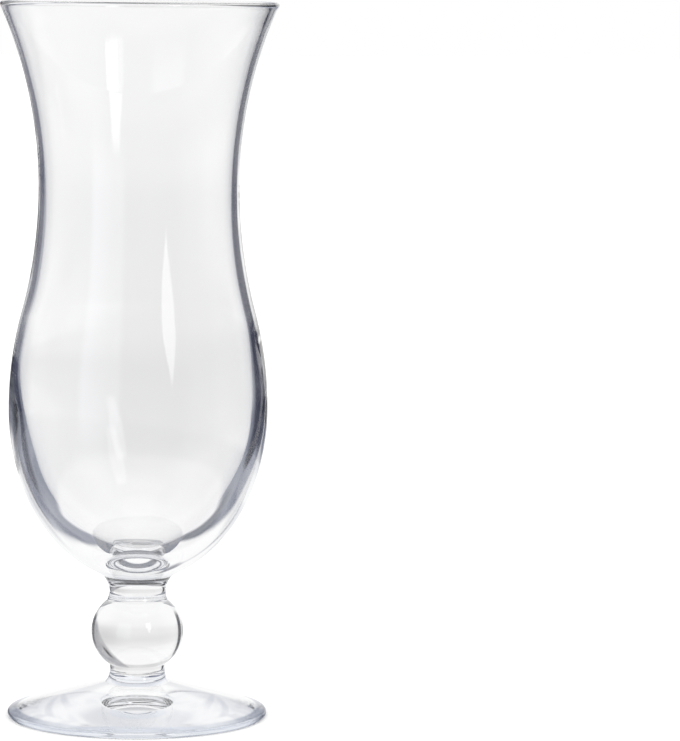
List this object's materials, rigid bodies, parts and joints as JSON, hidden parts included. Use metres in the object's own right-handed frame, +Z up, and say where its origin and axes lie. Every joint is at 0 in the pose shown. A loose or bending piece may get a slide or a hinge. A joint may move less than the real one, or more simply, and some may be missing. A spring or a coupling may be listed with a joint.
{
  "type": "hurricane glass",
  "caption": "Clear hurricane glass: flared mouth, drawn-in waist and full belly on a ball-knopped stem with collars and a broad round foot, for tall mixed drinks.",
  "frame": {"origin": "centre of the foot's underside, on the table", "axes": "+Z up along the glass's axis of revolution; X and Y are any two directions across it"},
  "size_m": [0.0812, 0.0812, 0.21],
  "materials": {
    "clear_glass": "clear, colourless, fire-polished soda-lime glass"
  },
  "bodies": {
    "root": {"foot": "clear_glass", "lower_collar": "clear_glass", "ball_knop": "clear_glass", "upper_collar": "clear_glass", "bowl": "clear_glass"}
  },
  "joints": []
}
